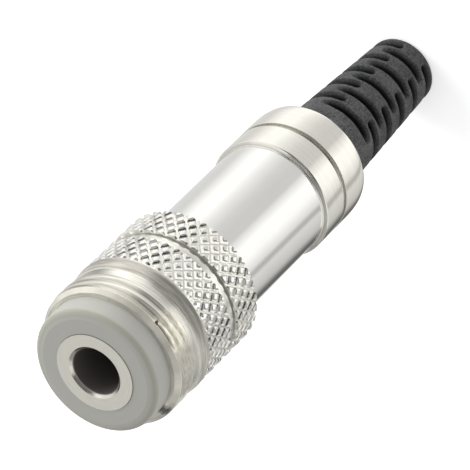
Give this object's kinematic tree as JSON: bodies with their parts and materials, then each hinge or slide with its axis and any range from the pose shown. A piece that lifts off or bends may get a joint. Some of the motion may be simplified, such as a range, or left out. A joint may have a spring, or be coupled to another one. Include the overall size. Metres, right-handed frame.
{
  "type": "in-line stereo jack socket",
  "caption": "In-line cable socket for a small stereo plug: threaded nose with insulated sleeve bush, knurled screw-on metal shell and slotted rubber bend relief.",
  "frame": {"origin": "centre of the bend relief's free end, on the surface that the socket stands on", "axes": "+Z along the plug axis from the bend relief to the nose; -Y towards the middle of a short bend-relief slot; +X towards the ring contact"},
  "size_m": [0.0111, 0.011, 0.043],
  "materials": {
    "nickel_turned": "nickel-plated turned brass with fine tool lines",
    "nickel_polished": "polished nickel plate over turned brass",
    "grey_plastic": "satin moulded grey plastic",
    "dark_plastic": "dark brown-black moulded insulator",
    "clear_plastic": "thin milky insulating tube",
    "spring_bronze": "bright phosphor bronze strip",
    "tinned_strip": "tin-plated brass strip",
    "black_rubber": "matte black flexible moulding with fine texture"
  },
  "bodies": {
    "boot": {"bend_relief": "black_rubber"},
    "shell": {"rear_shell": "nickel_polished"},
    "nose": {"nose_body": "nickel_polished", "front_insulator": "grey_plastic", "sleeve_bush": "nickel_turned", "contact_carrier": "dark_plastic", "sleeve_strap": "tinned_strip", "tip_tag": "tinned_strip", "ring_tag": "tinned_strip", "tip_rivet": "nickel_turned", "ring_rivet": "nickel_turned", "lock_ring": "nickel_turned", "insulating_liner": "clear_plastic"},
    "tip_spring": {"tip_contact": "spring_bronze"},
    "ring_spring": {"ring_contact": "spring_bronze"}
  },
  "joints": [
    {"name": "shell_turn", "type": "hinge", "parent": "boot", "child": "shell", "pos_m": [0, 0, 0.0148], "axis": [0, 0, -1], "range_deg": [0, 900]},
    {"name": "nose_travel", "type": "slide", "parent": "boot", "child": "nose", "axis": [0, 0, 1], "range_m": [0, 0.00187]},
    {"name": "tip_spring_lift", "type": "hinge", "parent": "nose", "child": "tip_spring", "pos_m": [-0.0024, 0, 0.02772], "axis": [0, -1, 0], "range_deg": [0, 5], "stiffness_Nm_per_rad": 0.14},
    {"name": "ring_spring_lift", "type": "hinge", "parent": "nose", "child": "ring_spring", "pos_m": [0.0024, 0, 0.02772], "axis": [0, 1, 0], "range_deg": [0, 3], "stiffness_Nm_per_rad": 0.45}
  ],
  "couplings": [
    {"joint": "shell_turn", "follows": "nose_travel", "rad_per_m": 8377.6}
  ]
}
